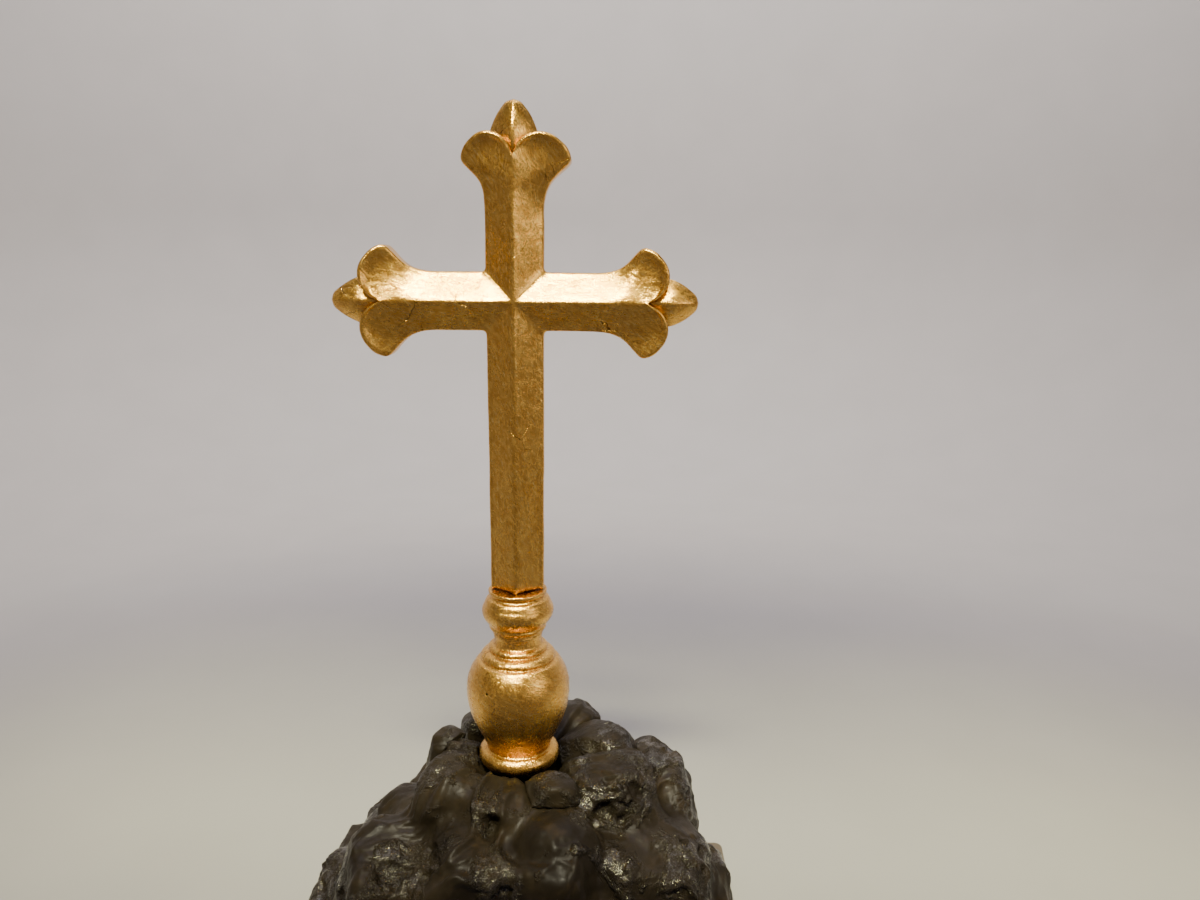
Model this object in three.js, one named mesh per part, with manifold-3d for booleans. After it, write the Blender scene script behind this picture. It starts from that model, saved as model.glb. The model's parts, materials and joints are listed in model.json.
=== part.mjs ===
// Altar cross: a gilded wooden cross with fleury ends on a turned knop. It lifts out of a painted
// rock mound built round a wooden core on a board. Millimetres, +Z up, the front faces -Y, and the
// origin is at the middle of the felt under the board.
import * as THREE from 'three';
import { ConvexGeometry } from 'three/addons/geometries/ConvexGeometry.js';
import { LoftGeometry } from 'three/addons/geometries/LoftGeometry.js';
import { mergeVertices } from 'three/addons/utils/BufferGeometryUtils.js';
import Module from 'manifold-3d';

const wasm = await Module();
wasm.setup();

// ---- Driving dimensions ----

const GAP = 0.3; // glue line or clearance between neighbouring pieces
const FAR = 500; // beyond every piece
const QUARTER = Math.PI / 2;

const FELT = { thickness: 2, inset: 4 };
const BOARD = { width: 308, depth: 208, height: 20, corner: 6 };
const BOARD_BASE = FELT.thickness + GAP;
const BOARD_TOP = BOARD_BASE + BOARD.height;

const MOUND_HEIGHT = 136; // from the board's top to the foot ring's underside
const FOOT_HEIGHT = BOARD_TOP + MOUND_HEIGHT;

const CORE_LOWER = { width: 190, depth: 120, height: 48 };
const CORE_UPPER = { width: 100, depth: 76, height: 44 };
const SEAT_RADIUS = 18;

// Bars of the cross: a flat hexagon with a ridge along the front and the back.
const BAR = { halfWidth: 17.5, edge: 3.75, ridge: 13.25, footHalfWidth: 16.9 };
const CROSSING_HEIGHT = 303; // above the foot ring's underside
const SHAFT_BASE = 121; // where the shaft stands on the collar
const UPPER_ARM_EXTRA = 4.5; // the top arm is this much longer than a side arm

// Fleury head of a side arm, measured outward from the crossing.
const HEAD = {
  start: 48, // where the bar's side begins to flare
  flare: 18, // the side leaves the bar's line over this length
  tip: [33.2, 76],
  tipLead: [8, 8.5], // the side comes up to the tip along this slope
  tipBend: [1, 8], // and turns over it by this much, on to the lobe
  lobeCentre: [15.6, 76.4],
  lobeRadius: 15.8,
  lobeStart: Math.PI / 4,
  petalStart: 38, // the glued-on petals reach back to here
};
const HEAD_NOTCH = HEAD.lobeCentre[1] + Math.sqrt(HEAD.lobeRadius ** 2 - HEAD.lobeCentre[0] ** 2);
const RIM = { rise: 8.5, swell: 0.6 }; // the rim stands above the bar's side edge, most at the notch
const DISH = 3.2; // hollow of a petal's face below a straight line from ridge to rim

// Bud between two petals: its outline is [half width, distance beyond the root].
const BUD = {
  root: 80,
  depthShare: 0.62, // its depth over its width
  outline: [[15, 0], [14.4, 13], [12, 18], [8.6, 24], [5, 28], [0, 30.6]],
};
const BUD_DOWEL = { radius: 2.5, from: 66, to: 98 };
const LAP_DOWEL = { radius: 3.5, halfLength: 8.5 };

// Turned knop: its profiles are [radius, height above the foot ring's underside].
const BORE_RADIUS = 5.3;
const FOOT_RING = { radius: 26.7, tube: 5.7, innerFlat: 19 };
const VASE = {
  base: 12,
  top: 92,
  belly: [[20.4, 12], [23.9, 20], [29.6, 31.6], [32.9, 43.3], [33.75, 52.4], [32.8, 59.6], [30.6, 65.2]],
  shoulder: [[29.6, 65.8], [27.6, 69.6], [26.4, 70], [22.6, 74], [18.4, 77.4], [16, 80.6], [15.5, 85]],
  neckRadius: 15.5,
};
const COLLAR = {
  base: 92.3,
  cove: [[16.6, 92.3], [16.9, 94.6], [18.2, 95.4], [18.4, 97.6]],
  roll: { ringRadius: 15.4, height: 107.4, radius: 7.8, from: -1.1, to: 1.05 },
  ledge: [[18.2, 117], [18, 118], [18.7, 118.6]],
  ledgeRadius: 18.7,
};

const ROD = { radius: 5, top: 181, bottom: -60 };
const PIN = { radius: 2, offset: 12, top: 7, bottom: -11 };
const SCREW = { headRadius: 4.6, headHeight: 3.4, radius: 2.1, length: 46, x: 78, y: 46 };
const SCREW_RECESS = 2; // the heads sit this deep in the board's underside

// How many flats stand for a full round, and how many steps for a curve.
const ROUND = { bud: 8, dowel: 12, screw: 14, peg: 16, rod: 20, turned: 32, lobe: 40 };
const STEPS = { head: 3, barFace: 3, bud: 9, roll: 8, belly: 10, boardCorner: 5 };

// ---- Materials ----

const finish = (color, roughness, metalness) => ({ color, roughness, metalness });
const GILT = finish(0xc8963c, 0.32, 0.9);
const BARE_WOOD = finish(0xb08d5f, 0.75, 0);
const ROCK = finish(0x2f2923, 0.3, 0);
const PAINTED_BOARD = finish(0x4d4240, 0.4, 0);
const STEEL = finish(0x9a9a9c, 0.35, 1);
const FELT_CLOTH = finish(0x2d3b2e, 0.95, 0);

// ---- Assembly groups ----

const altarCross = new THREE.Group();
const base = new THREE.Group();
const rocks = new THREE.Group();
rocks.position.z = FOOT_HEIGHT;
const cross = new THREE.Group();
cross.position.z = FOOT_HEIGHT;
const arms = new THREE.Group();
arms.position.z = CROSSING_HEIGHT;
cross.add(arms);
altarCross.add(cross, base, rocks);

// ---- Solids ----

function solidOf(geometry) {
  const bare = new THREE.BufferGeometry();
  bare.setAttribute('position', geometry.getAttribute('position').clone());
  bare.setIndex(geometry.index);
  const merged = mergeVertices(bare, 1e-4);
  const corners = merged.index.array;
  const kept = [];
  for (let i = 0; i < corners.length; i += 3) {
    const [a, b, c] = corners.subarray(i, i + 3);
    if (a !== b && b !== c && c !== a) kept.push(a, b, c);
  }
  const mesh = new wasm.Mesh({
    numProp: 3,
    vertProperties: merged.attributes.position.array,
    triVerts: new Uint32Array(kept),
  });
  return new wasm.Manifold(mesh);
}

function geometryOf(solid) {
  const mesh = solid.getMesh();
  const indexed = new THREE.BufferGeometry();
  indexed.setAttribute('position', new THREE.BufferAttribute(mesh.vertProperties, mesh.numProp));
  indexed.setIndex(new THREE.BufferAttribute(mesh.triVerts, 1));
  const faceted = indexed.toNonIndexed();
  faceted.computeVertexNormals();
  return faceted;
}

function add(group, name, solid, look) {
  const mesh = new THREE.Mesh(geometryOf(solid), new THREE.MeshStandardMaterial(look));
  mesh.name = name;
  group.add(mesh);
}

const movedSolid = (solid, x, y, z) => solidOf(geometryOf(solid).translate(x, y, z));

// A box given by its low and high corners.
function boxSolid(low, high) {
  const size = high.map((value, i) => value - low[i]);
  const middle = high.map((value, i) => (value + low[i]) / 2);
  return solidOf(new THREE.BoxGeometry(...size).translate(...middle));
}

// A round rod along Z between two heights.
function rodSolid(radius, bottom, top, sides) {
  const geometry = new THREE.CylinderGeometry(radius, radius, top - bottom, sides);
  return solidOf(geometry.rotateX(QUARTER).translate(0, 0, (top + bottom) / 2));
}

// A round solid from [radius, height] pairs, which start and end on the axis or close on themselves.
function latheSolid(profile, sides) {
  const points = profile.map(([radius, height]) => new THREE.Vector2(radius, height));
  return solidOf(new THREE.LatheGeometry(points, sides).rotateX(QUARTER));
}

// A turned piece bored for the centre rod, from its outer profile, low end first.
function turnedSolid(outside) {
  const bottom = [BORE_RADIUS, outside[0][1]];
  const top = [BORE_RADIUS, outside.at(-1)[1]];
  return latheSolid([bottom, ...outside, top, bottom], ROUND.turned);
}

// Points of a smooth curve through the given pairs.
function smoothPairs(pairs, steps) {
  const curve = new THREE.SplineCurve(pairs.map(([x, y]) => new THREE.Vector2(x, y)));
  return curve.getPoints(steps).map((point) => [point.x, point.y]);
}

function arcPairs(centreX, centreY, radius, from, to) {
  return Array.from({ length: STEPS.roll + 1 }, (_, i) => {
    const angle = THREE.MathUtils.lerp(from, to, i / STEPS.roll);
    return [centreX + radius * Math.cos(angle), centreY + radius * Math.sin(angle)];
  });
}

// ---- Bars with fleury heads ----

// Half outline of a head, from the bar's side round the petal's tip and the lobe to the notch.
function headOutline() {
  const [tipU, tipV] = HEAD.tip;
  const [leadU, leadV] = HEAD.tipLead;
  const [bendU, bendV] = HEAD.tipBend;
  const [lobeU, lobeV] = HEAD.lobeCentre;
  const radius = HEAD.lobeRadius;
  const joinU = lobeU + radius * Math.cos(HEAD.lobeStart);
  const joinV = lobeV + radius * Math.sin(HEAD.lobeStart);
  const notchAngle = Math.PI - Math.asin((HEAD_NOTCH - lobeV) / radius);
  const path = new THREE.Path();
  path.moveTo(BAR.halfWidth, HEAD.start);
  path.bezierCurveTo(BAR.halfWidth, HEAD.start + HEAD.flare, tipU - leadU, tipV - leadV, tipU, tipV);
  path.quadraticCurveTo(tipU - bendU, tipV + bendV, joinU, joinV);
  path.absarc(lobeU, lobeV, radius, HEAD.lobeStart, notchAngle, false);
  const points = path.getPoints(STEPS.head);
  points.at(-1).set(0, HEAD_NOTCH);
  return points;
}

// One closed section: columns run from the ridge to the outline, on the front and on the back.
function barSection(centreV, edgePoint, edge, dish) {
  const outward = Array.from({ length: STEPS.barFace + 1 }, (_, i) => {
    const share = i / STEPS.barFace;
    return {
      u: edgePoint.x * share,
      v: THREE.MathUtils.lerp(centreV, edgePoint.y, share),
      depth: THREE.MathUtils.lerp(BAR.ridge, edge, share) - dish * 4 * share * (1 - share),
    };
  });
  const inward = [...outward].reverse();
  const place = (column, side, face) => new THREE.Vector3(side * column.u, face * column.depth, column.v);
  return [
    ...outward.map((column) => place(column, 1, -1)),
    ...inward.map((column) => place(column, 1, 1)),
    ...outward.slice(1).map((column) => place(column, -1, 1)),
    ...inward.slice(0, -1).map((column) => place(column, -1, -1)),
  ];
}

// The sections of a head, starting where the bar begins to flare.
function headSections(shift) {
  const outline = headOutline();
  const last = outline.length - 1;
  return outline.map((point, i) => {
    const share = i / last;
    const centre = HEAD.start + (HEAD_NOTCH - HEAD.start) * Math.sin(share * QUARTER);
    const edge = BAR.edge + RIM.rise * share ** RIM.swell;
    const moved = new THREE.Vector2(point.x, point.y + shift);
    return barSection(centre + shift, moved, edge, DISH * Math.sin(share * Math.PI));
  });
}

function mirrored(sections) {
  const mirror = (point) => new THREE.Vector3(point.x, point.y, -point.z);
  return sections.map((section) => section.map(mirror)).reverse();
}

function uprightBar() {
  const foot = new THREE.Vector2(BAR.footHalfWidth, SHAFT_BASE - CROSSING_HEIGHT);
  const sections = [barSection(foot.y, foot, BAR.edge, 0), ...headSections(UPPER_ARM_EXTRA)];
  return solidOf(new LoftGeometry(sections, { capStart: true }));
}

function crossBar() {
  const head = headSections(0);
  return solidOf(new LoftGeometry([...mirrored(head), ...head]).rotateY(QUARTER));
}

// Carries a solid made for an arm that points up to the arm that the turn points at.
const onArm = (solid, { turn, shift }) => solidOf(geometryOf(solid).translate(0, 0, shift).rotateY(turn));

const ARMS = [
  { name: 'top', turn: 0, shift: UPPER_ARM_EXTRA, sides: ['left', 'right'] },
  { name: 'right', turn: QUARTER, shift: 0, sides: ['upper', 'lower'] },
  { name: 'left', turn: -QUARTER, shift: 0, sides: ['lower', 'upper'] },
];

// A bud for the arm that points up. Two round cuts seat it between the lobes.
function budSolid() {
  const outline = [[0, 0], ...smoothPairs(BUD.outline, STEPS.bud)];
  const profile = outline.map(([halfWidth, beyond]) => new THREE.Vector2(halfWidth, BUD.root + beyond));
  profile.at(-1).x = 0;
  const lathe = new THREE.LatheGeometry(profile, ROUND.bud).rotateX(QUARTER);
  const [lobeU, lobeV] = HEAD.lobeCentre;
  const reach = HEAD.lobeRadius + GAP;
  let bud = solidOf(lathe.scale(1, BUD.depthShare, 1));
  for (const side of [-1, 1]) {
    const lobe = new THREE.CylinderGeometry(reach, reach, FAR, ROUND.lobe);
    bud = bud.subtract(solidOf(lobe.translate(side * lobeU, 0, lobeV)));
  }
  return bud;
}

function lapPeg(spare) {
  const { radius, halfLength } = LAP_DOWEL;
  const length = 2 * (halfLength + spare);
  return solidOf(new THREE.CylinderGeometry(radius + spare, radius + spare, length, ROUND.peg));
}

const budDowel = (spare) =>
  rodSolid(BUD_DOWEL.radius + spare, BUD_DOWEL.from - spare, BUD_DOWEL.to + spare, ROUND.dowel);

// The bars cross in a half lap: the beam takes the front half and the upright the back half.
function buildArms() {
  const upright = uprightBar();
  const beam = crossBar();
  const half = BAR.halfWidth;
  const clear = half + GAP;
  const crossing = boxSolid([-half, -FAR, -half], [half, FAR, half]);
  const rodHole = rodSolid(ROD.radius + GAP, -FAR, ROD.top + GAP - CROSSING_HEIGHT, ROUND.rod);

  const uprightPiece = upright
    .add(beam.intersect(crossing))
    .intersect(boxSolid([-half, -FAR, -FAR], [half, FAR, FAR]))
    .subtract(boxSolid([-FAR, -FAR, -clear], [FAR, GAP / 2, clear]))
    .subtract(lapPeg(GAP))
    .subtract(rodHole)
    .subtract(onArm(budDowel(GAP), ARMS[0]));
  add(arms, 'upright', uprightPiece, GILT);

  const beamPiece = beam
    .add(upright.intersect(crossing))
    .intersect(boxSolid([-FAR, -FAR, -half], [FAR, FAR, half]))
    .subtract(boxSolid([-clear, -GAP / 2, -FAR], [clear, FAR, FAR]))
    .subtract(lapPeg(GAP))
    .subtract(onArm(budDowel(GAP), ARMS[1]))
    .subtract(onArm(budDowel(GAP), ARMS[2]));
  add(arms, 'crossbeam', beamPiece, GILT);
  add(arms, 'lap_dowel', lapPeg(0), BARE_WOOD);

  const petalZones = [
    boxSolid([-FAR, -FAR, HEAD.petalStart], [-clear, FAR, FAR]),
    boxSolid([clear, -FAR, HEAD.petalStart], [FAR, FAR, FAR]),
  ];
  const bud = budSolid().subtract(budDowel(GAP));
  for (const arm of ARMS) {
    const bar = arm.name === 'top' ? upright : beam;
    arm.sides.forEach((side, i) => {
      add(arms, `petal_${arm.name}_${side}`, bar.intersect(onArm(petalZones[i], arm)), GILT);
    });
    add(arms, `bud_${arm.name}`, onArm(bud, arm), GILT);
    add(arms, `bud_dowel_${arm.name}`, onArm(budDowel(0), arm), BARE_WOOD);
  }
}

// ---- Turned knop, rod and pin ----

function buildKnop() {
  const { radius, tube, innerFlat } = FOOT_RING;
  const ringTop = VASE.base - GAP;
  const ring = turnedSolid([...arcPairs(radius - tube, tube, tube, -QUARTER, QUARTER), [innerFlat, ringTop]]);
  const pinHole = rodSolid(PIN.radius + GAP, -FAR, PIN.top + GAP, ROUND.dowel);
  add(cross, 'foot_ring', ring.subtract(movedSolid(pinHole, 0, PIN.offset, 0)), GILT);

  const belly = smoothPairs(VASE.belly, STEPS.belly);
  add(cross, 'vase', turnedSolid([...belly, ...VASE.shoulder, [VASE.neckRadius, VASE.top]]), GILT);

  const { ringRadius, height, radius: rollRadius, from, to } = COLLAR.roll;
  const roll = arcPairs(ringRadius, height, rollRadius, from, to);
  const ledgeTop = [COLLAR.ledgeRadius, SHAFT_BASE - GAP];
  add(cross, 'collar', turnedSolid([...COLLAR.cove, ...roll, ...COLLAR.ledge, ledgeTop]), GILT);

  add(cross, 'centre_rod', rodSolid(ROD.radius, ROD.bottom, ROD.top, ROUND.rod), STEEL);
  const pin = rodSolid(PIN.radius, PIN.bottom, PIN.top, ROUND.dowel);
  add(cross, 'locating_pin', movedSolid(pin, 0, PIN.offset, 0), STEEL);
}

// ---- Board, felt, core and screws ----

function roundedPlate(width, depth, corner, bottom, top) {
  const outline = new THREE.Shape();
  const x = width / 2 - corner;
  const y = depth / 2 - corner;
  outline.absarc(x, y, corner, 0, QUARTER);
  outline.absarc(-x, y, corner, QUARTER, 2 * QUARTER);
  outline.absarc(-x, -y, corner, 2 * QUARTER, 3 * QUARTER);
  outline.absarc(x, -y, corner, 3 * QUARTER, 4 * QUARTER);
  const settings = { depth: top - bottom, bevelEnabled: false, curveSegments: STEPS.boardCorner };
  return solidOf(new THREE.ExtrudeGeometry(outline, settings).translate(0, 0, bottom));
}

function blockSolid({ width, depth, height }, bottom) {
  return boxSolid([-width / 2, -depth / 2, bottom], [width / 2, depth / 2, bottom + height]);
}

const CORE_LOWER_BASE = BOARD_TOP + GAP;
const CORE_UPPER_BASE = CORE_LOWER_BASE + CORE_LOWER.height + GAP;
const SEAT_BASE = CORE_UPPER_BASE + CORE_UPPER.height + GAP;

function screwSolid(spare) {
  const head = SCREW.headRadius + spare;
  const shank = SCREW.radius + spare;
  const low = BOARD_BASE + SCREW_RECESS - spare;
  const neck = low + SCREW.headHeight + spare;
  const tip = BOARD_BASE + SCREW.length + spare;
  return latheSolid([[0, low], [head, low], [shank, neck], [shank, tip - shank], [0, tip]], ROUND.screw);
}

function buildBase() {
  const { width, depth, corner } = BOARD;
  const felt = roundedPlate(width - 2 * FELT.inset, depth - 2 * FELT.inset, corner, 0, FELT.thickness);
  add(base, 'base_felt', felt, FELT_CLOTH);

  const access = rodSolid(SCREW.headRadius + GAP, -FAR, BOARD_BASE + SCREW_RECESS, ROUND.screw);
  const screwHole = screwSolid(GAP).add(access);
  let board = roundedPlate(width, depth, corner, BOARD_BASE, BOARD_TOP);
  let lower = blockSolid(CORE_LOWER, CORE_LOWER_BASE);
  for (const [end, sideY] of [['front', -1], ['rear', 1]]) {
    for (const [side, sideX] of [['left', -1], ['right', 1]]) {
      const place = [sideX * SCREW.x, sideY * SCREW.y, 0];
      const hole = movedSolid(screwHole, ...place);
      board = board.subtract(hole);
      lower = lower.subtract(hole);
      add(base, `screw_${end}_${side}`, movedSolid(screwSolid(0), ...place), STEEL);
    }
  }
  add(base, 'plinth_board', board, PAINTED_BOARD);
  add(base, 'core_lower', lower, BARE_WOOD);

  const socket = rodSolid(ROD.radius + GAP, FOOT_HEIGHT + ROD.bottom - GAP, FAR, ROUND.rod);
  add(base, 'core_upper', blockSolid(CORE_UPPER, CORE_UPPER_BASE).subtract(socket), BARE_WOOD);

  const pinHole = rodSolid(PIN.radius + GAP, FOOT_HEIGHT + PIN.bottom - GAP, FAR, ROUND.dowel);
  const seat = rodSolid(SEAT_RADIUS, SEAT_BASE, FOOT_HEIGHT - GAP, ROUND.turned);
  add(base, 'seat_block', seat.subtract(socket).subtract(movedSolid(pinHole, 0, PIN.offset, 0)), ROCK);
}

// ---- Stones of the mound ----

// Each stone: name, middle (above the foot ring's underside), half sizes, turn and lean in degrees.
const STONES = [
  ['rock_back_left_slab', [-35, 43, -16], [12, 16, 31], 20, 8],
  ['rock_left_block', [-52, 16, -14], [15, 18, 30], 12, 12],
  ['rock_left_lump', [-38, 4, -16], [20, 20, 23], -20, 6],
  ['rock_left_ledge', [-39, -24, -15], [26, 22, 22], 15, 0],
  ['rock_front_block', [-12, -40, -15], [24, 19, 21], -8, 5],
  ['rock_front_right_flat', [23, -35, -4], [20, 15, 11], 24, 6],
  ['rock_front_slope', [24, -46, -25], [28, 22, 20], 6, 0],
  ['rock_right_hump', [60, -14, -20], [34, 32, 28], 10, -8],
  ['rock_right_back_slab', [52, 30, -20], [31, 26, 28], -12, -14],
  ['rock_back_right', [32, 54, -22], [26, 26, 30], 24, 0],
  ['rock_back_middle', [-4, 54, -24], [30, 26, 33], 0, 6],
  ['rock_right_ridge', [88, 22, -44], [31, 38, 38], 8, -12],
  ['rock_right_rear', [94, 56, -82], [32, 44, 44], -10, -6],
  ['rock_right_flank', [109, -14, -106], [38, 44, 44], 5, -8],
  ['rock_right_front', [84, -46, -62], [42, 44, 46], -14, -6],
  ['rock_front_boulder', [28, -66, -46], [34, 32, 34], 0, 0],
  ['rock_front_left', [-28, -62, -48], [36, 34, 36], 12, 0],
  ['rock_left_slope', [-68, -46, -61], [43, 42, 42], 18, 10],
  ['rock_left_boulder', [-70, -4, -52], [27, 32, 26], -10, 8],
  ['rock_left_leaf', [-97, 0, -64], [12, 26, 20], 14, 16],
  ['rock_left_rear', [-52, 50, -70], [36, 36, 38], 10, 6],
  ['rock_left_flank', [-105, -4, -112], [36, 54, 44], -6, 8],
  ['rock_front_low_left', [-98, -72, -108], [54, 40, 42], 8, 4],
  ['rock_front_low', [-34, -84, -100], [46, 34, 50], -6, 0],
  ['rock_front_low_middle', [36, -86, -100], [46, 34, 50], 6, 0],
  ['rock_front_low_right', [104, -70, -108], [54, 40, 42], -8, -4],
  ['rock_rear_low_left', [-76, 76, -116], [56, 38, 33], -8, 4],
  ['rock_rear_low', [0, 80, -84], [54, 34, 62], 4, 0],
  ['rock_rear_low_right', [78, 76, -112], [54, 38, 38], 8, -4],
];
const STONE = { squareness: 0.66, roughness: 0.14, ringClearance: 0.9 };
const MOUND_EDGE = { x: BOARD.width / 2 - 3, y: BOARD.depth / 2 - 3 };

const UP = new THREE.Vector3(0, 0, 1);
const levelAt = (height) => height - FOOT_HEIGHT;

// A repeatable value between 0 and 1 for each step of a stone's own sequence.
function scatter(seed, step) {
  const wave = Math.sin(seed * 127.1 + step * 311.7) * 43758.5453;
  return wave - Math.floor(wave);
}

// A ball drawn out towards a block, with its corners moved in and out.
function stonePoints([, middle, half, turn, lean], seed) {
  const sphere = new THREE.IcosahedronGeometry(1, 1);
  const ball = mergeVertices(sphere.deleteAttribute('normal').deleteAttribute('uv')).getAttribute('position');
  const { degToRad } = THREE.MathUtils;
  const spin = new THREE.Euler(0, degToRad(lean), degToRad(turn), 'ZYX');
  return Array.from({ length: ball.count }, (_, i) => {
    const direction = new THREE.Vector3().fromBufferAttribute(ball, i).toArray();
    const square = direction.map((value) => Math.sign(value) * Math.abs(value) ** STONE.squareness);
    const reach = 1 - STONE.roughness * scatter(seed, i);
    const point = new THREE.Vector3(...square.map((value, axis) => value * half[axis] * reach));
    return point.applyEuler(spin).add(new THREE.Vector3(...middle));
  });
}

// The half space on the far side of a plane, as a big block that a stone is cut back by.
function beyond({ normal, distance }) {
  const block = new THREE.BoxGeometry(2 * FAR, 2 * FAR, FAR).translate(0, 0, distance + FAR / 2);
  return solidOf(block.applyQuaternion(new THREE.Quaternion().setFromUnitVectors(UP, normal)));
}

const reachAlong = (points, normal) => Math.max(...points.map((point) => point.dot(normal)));

// Where two stones would run into each other, both stop at a plane halfway through the overlap.
function cutApart(stones) {
  stones.forEach((a, i) => {
    for (const b of stones.slice(i + 1)) {
      const normal = b.middle.clone().sub(a.middle).normalize();
      const back = normal.clone().negate();
      const end = reachAlong(a.points, normal);
      const start = -reachAlong(b.points, back);
      if (end + GAP <= start) continue;
      const plane = (end + start) / 2;
      a.cuts.push({ normal, distance: plane - GAP / 2 });
      b.cuts.push({ normal: back, distance: -(plane + GAP / 2) });
    }
  });
}

// A stone stops at the face of a core block that its middle lies furthest outside.
function cutAtBlock(stone, { width, depth, height }, blockBase) {
  const { x, y } = stone.middle;
  const faces = [
    { normal: new THREE.Vector3(Math.sign(x), 0, 0), face: width / 2 },
    { normal: new THREE.Vector3(0, Math.sign(y), 0), face: depth / 2 },
    { normal: UP, face: levelAt(blockBase) + height },
  ];
  const outside = ({ normal, face }) => stone.middle.dot(normal) - face;
  const nearest = faces.reduce((best, face) => (outside(face) > outside(best) ? face : best));
  stone.cuts.push({ normal: nearest.normal.clone().negate(), distance: -(nearest.face + GAP) });
}

// A low stone reaches in under the foot ring, up to the seat. A stone taller than the ring stops
// beside it.
function cutAtRing(stone) {
  const { radius, tube } = FOOT_RING;
  const { ringClearance } = STONE;
  const outward = new THREE.Vector3(stone.middle.x, stone.middle.y, 0).normalize();
  const inward = outward.clone().negate();
  if (reachAlong(stone.points, UP) > 2 * tube) {
    stone.cuts.push({ normal: inward, distance: -(radius + ringClearance) });
    return;
  }
  const slope = inward.clone().add(UP).normalize();
  const ringMiddle = outward.multiplyScalar(radius - tube).add(new THREE.Vector3(0, 0, tube));
  stone.cuts.push({ normal: slope, distance: ringMiddle.dot(slope) - tube - ringClearance });
  stone.cuts.push({ normal: inward, distance: -(SEAT_RADIUS + GAP) });
}

function cutAtBoard(stone) {
  stone.cuts.push({ normal: UP.clone().negate(), distance: -levelAt(BOARD_TOP + GAP) });
  for (const side of [-1, 1]) {
    stone.cuts.push({ normal: new THREE.Vector3(side, 0, 0), distance: MOUND_EDGE.x });
    stone.cuts.push({ normal: new THREE.Vector3(0, side, 0), distance: MOUND_EDGE.y });
  }
}

function buildStones() {
  const stones = STONES.map((row, i) => ({
    name: row[0],
    middle: new THREE.Vector3(...row[1]),
    points: stonePoints(row, i + 1),
    cuts: [],
  }));
  cutApart(stones);
  for (const stone of stones) {
    cutAtBlock(stone, CORE_LOWER, CORE_LOWER_BASE);
    cutAtBlock(stone, CORE_UPPER, CORE_UPPER_BASE);
    cutAtRing(stone);
    cutAtBoard(stone);
    const whole = solidOf(new ConvexGeometry(stone.points));
    add(rocks, stone.name, stone.cuts.reduce((solid, cut) => solid.subtract(beyond(cut)), whole), ROCK);
  }
}

// ---- Assembly ----

buildArms();
buildKnop();
buildBase();
buildStones();

export default altarCross;
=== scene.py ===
"""A gilded altar cross that stands on a dark rock mound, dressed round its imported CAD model.

Metres, +Z up, the front faces -Y. Outlines are written in millimetres and turned into metres with MM.
"""
import json
import math

import bmesh
import bpy
import numpy as np
from mathutils import Euler, Matrix, Vector


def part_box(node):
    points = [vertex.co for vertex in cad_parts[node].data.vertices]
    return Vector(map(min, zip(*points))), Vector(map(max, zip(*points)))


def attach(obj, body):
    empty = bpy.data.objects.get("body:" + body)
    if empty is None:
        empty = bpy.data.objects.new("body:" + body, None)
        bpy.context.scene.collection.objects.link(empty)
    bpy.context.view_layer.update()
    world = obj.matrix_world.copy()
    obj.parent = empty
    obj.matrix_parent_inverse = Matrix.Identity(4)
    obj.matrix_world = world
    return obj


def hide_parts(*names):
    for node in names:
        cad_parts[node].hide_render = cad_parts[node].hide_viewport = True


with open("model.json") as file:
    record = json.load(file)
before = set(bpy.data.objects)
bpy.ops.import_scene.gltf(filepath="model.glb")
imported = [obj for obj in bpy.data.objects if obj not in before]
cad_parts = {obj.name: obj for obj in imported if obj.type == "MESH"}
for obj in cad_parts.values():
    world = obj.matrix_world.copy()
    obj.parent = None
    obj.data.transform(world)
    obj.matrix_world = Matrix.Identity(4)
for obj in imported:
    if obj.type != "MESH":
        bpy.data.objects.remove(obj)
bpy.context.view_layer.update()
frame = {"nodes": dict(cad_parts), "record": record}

MM = 0.001
CROSS_BODY = "cross"
MOUND_BODY = "mound"

# ---- Places, taken from the frame ----

UPRIGHT_LOW, UPRIGHT_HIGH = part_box("upright")
BEAM_LOW, BEAM_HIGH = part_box("crossbeam")
FOOT_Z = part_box("foot_ring")[0].z
CROSSING_Z = (BEAM_LOW.z + BEAM_HIGH.z) / 2
BOARD_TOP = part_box("plinth_board")[1].z

HALF_WIDTH = UPRIGHT_HIGH.x
RIDGE = UPRIGHT_HIGH.y
SHAFT_LENGTH = CROSSING_Z - UPRIGHT_LOW.z
UPPER_EXTRA = UPRIGHT_HIGH.z - CROSSING_Z - BEAM_HIGH.x
PETAL_TIP_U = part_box("petal_right_upper")[1].z - CROSSING_Z
RING_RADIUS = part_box("foot_ring")[1].x
SEAT_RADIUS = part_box("seat_block")[1].x
TOP_BUD_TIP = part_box("bud_top")[1].z - CROSSING_Z
SIDE_BUD_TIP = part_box("bud_right")[1].x


# ---- Small numeric tools ----

X_PRIME, Y_PRIME, Z_PRIME, SEED_PRIME = 73856093, 19349663, 83492791, 49979687


def lattice(x, y, z, seed):
    """A repeatable value from -1 to 1 for each whole-number point, from mixing its bits."""
    mixed = x * X_PRIME ^ y * Y_PRIME ^ z * Z_PRIME ^ seed * SEED_PRIME
    mixed = (mixed ^ (mixed >> 13)) * 1274126177 & 0xFFFFFFFF
    mixed = (mixed ^ (mixed >> 16)) * 668265263 & 0xFFFFFF
    return mixed / 0x7FFFFF - 1


def soft_noise(points, wavelength, seed):
    """Smooth noise from -1 to 1. The wavelength is one length or one for each axis."""
    scaled = points / wavelength
    cell = np.floor(scaled).astype(np.int64)
    part = scaled - cell
    part = part * part * (3 - 2 * part)
    total = np.zeros(len(points))
    for corner in np.ndindex(2, 2, 2):
        weight = np.prod(np.where(np.array(corner), part, 1 - part), axis=1)
        total += weight * lattice(*(cell + corner).T, seed)
    return total


FRACTAL_SPREAD = 1.6  # brings most values of the summed noise back out to between -1 and 1


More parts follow.
